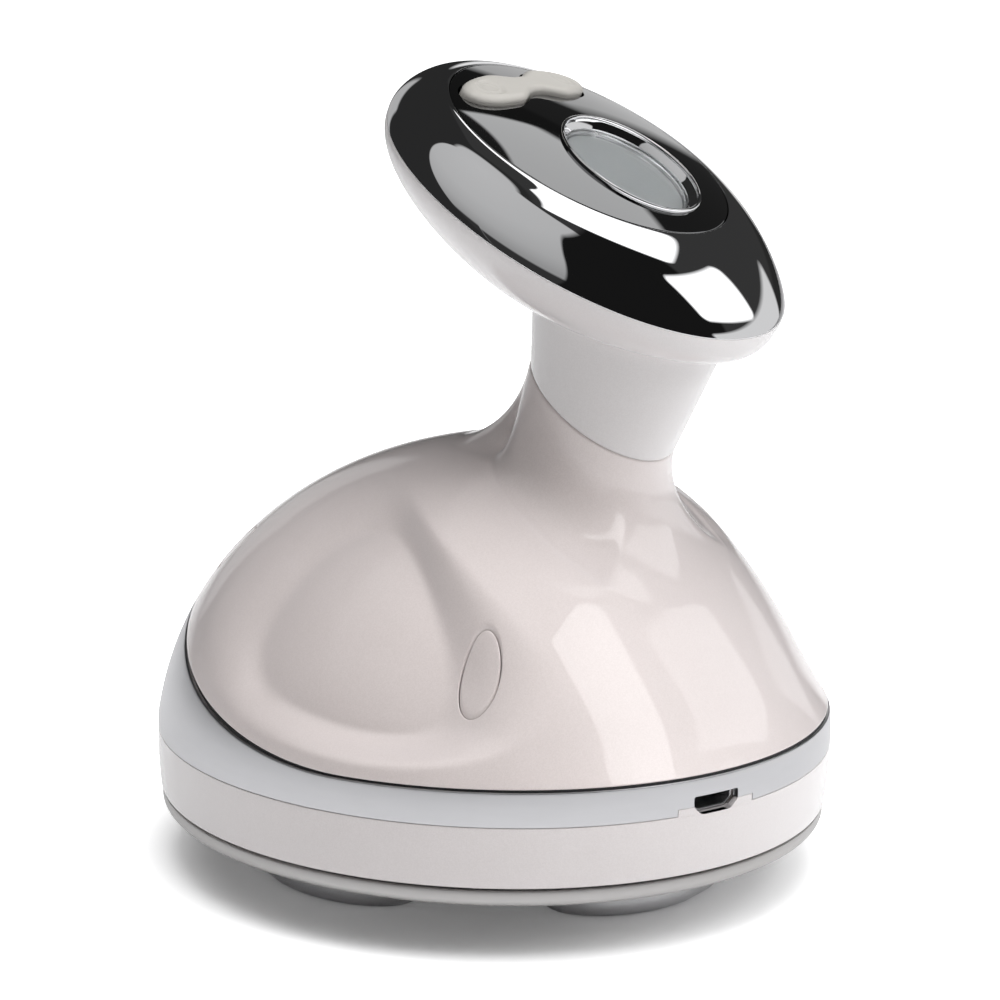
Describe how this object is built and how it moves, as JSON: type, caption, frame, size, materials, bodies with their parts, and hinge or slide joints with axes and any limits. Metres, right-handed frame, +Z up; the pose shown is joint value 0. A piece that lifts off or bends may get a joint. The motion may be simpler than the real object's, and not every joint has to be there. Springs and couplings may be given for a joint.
{
  "type": "hand-held body massager",
  "caption": "Hand-held body massager with a domed pearl base, a leaning neck, a chrome round head with a mirror panel, display and rocker key, and metal electrodes underneath.",
  "frame": {"origin": "on the floor under the middle of the round base", "axes": "+Z up from the electrodes to the head, -Y to the front, where the head leans, +X to the right when seen from behind the head"},
  "size_m": [0.1, 0.1, 0.1177],
  "materials": {
    "pearl_shell": "pearl lacquer with a fine flake, glossy",
    "pearl_head": "pearl white lacquer, glossy",
    "pearl_base": "pearl lacquer, satin",
    "satin_chrome": "satin chrome",
    "mirror_chrome": "polished chrome",
    "silver_plate": "silver paint, satin",
    "electrode_metal": "satin steel",
    "dark_seal": "matte",
    "panel_mirror": "dark mirror glass",
    "lens_glass": "clear, glossy",
    "screen_grey": "glossy grey",
    "well_silver": "satin reflector",
    "key_grey": "satin warm light grey",
    "board_green": "solder mask",
    "black_plastic": "matte",
    "inner_white": "moulded, matte",
    "dark_frame": "moulded, matte",
    "screw_steel": "zinc plated",
    "gold_pin": "gold plated",
    "nut_brass": "plain brass",
    "coil_copper": "enamelled copper wire",
    "cell_wrap": "shrink wrap",
    "lead_red": "insulated wire",
    "motor_steel": "drawn steel can",
    "weight_metal": "sintered heavy metal"
  },
  "bodies": {
    "housing": {"base_shell": "pearl_base", "bottom_plate": "silver_plate", "plate_seal": "dark_seal", "front_electrode": "electrode_metal", "left_electrode": "electrode_metal", "right_electrode": "electrode_metal", "electrode_gaskets": "dark_seal", "electrode_nuts": "nut_brass", "contact_pins": "gold_pin", "main_board": "board_green", "board_screws": "screw_steel", "charging_port": "screw_steel", "port_tongue": "black_plastic", "output_coil": "coil_copper", "buzzer": "black_plastic", "inner_tray": "inner_white", "tray_screws": "screw_steel", "battery": "cell_wrap", "battery_pad": "dark_seal", "power_leads": "lead_red", "vibration_motor": "motor_steel", "motor_clip": "screw_steel", "clip_screws": "screw_steel", "chrome_band": "satin_chrome", "band_seal": "dark_seal", "upper_shell": "pearl_shell", "front_screw_plugs": "pearl_shell", "rear_screw_plugs": "pearl_shell", "housing_screws": "screw_steel", "neck_sleeve": "inner_white", "head_cable": "dark_seal", "head_cup": "pearl_head", "chrome_dome": "mirror_chrome", "head_frame": "dark_frame", "frame_screws": "screw_steel", "mirror_panel": "panel_mirror", "display_bezel": "mirror_chrome", "display_lens": "lens_glass", "display_screen": "screen_grey", "display_well": "well_silver", "head_board": "board_green", "key_switches": "black_plastic", "rocker_pin": "screw_steel"},
    "rocker": {"rocker_key": "key_grey"},
    "rotor": {"motor_shaft": "screw_steel", "motor_weight": "weight_metal"}
  },
  "joints": [
    {"name": "rocker_tilt", "type": "hinge", "parent": "housing", "child": "rocker", "pos_m": [0, -0.0002, 0.11074], "axis": [0, 0.8829, 0.4695], "range_deg": [-2.5, 2.5], "stiffness_Nm_per_rad": 0.275},
    {"name": "motor_spin", "type": "hinge", "parent": "housing", "child": "rotor", "pos_m": [-0.01, -0.015, 0.034], "axis": [1, 0, 0], "continuous": true}
  ]
}
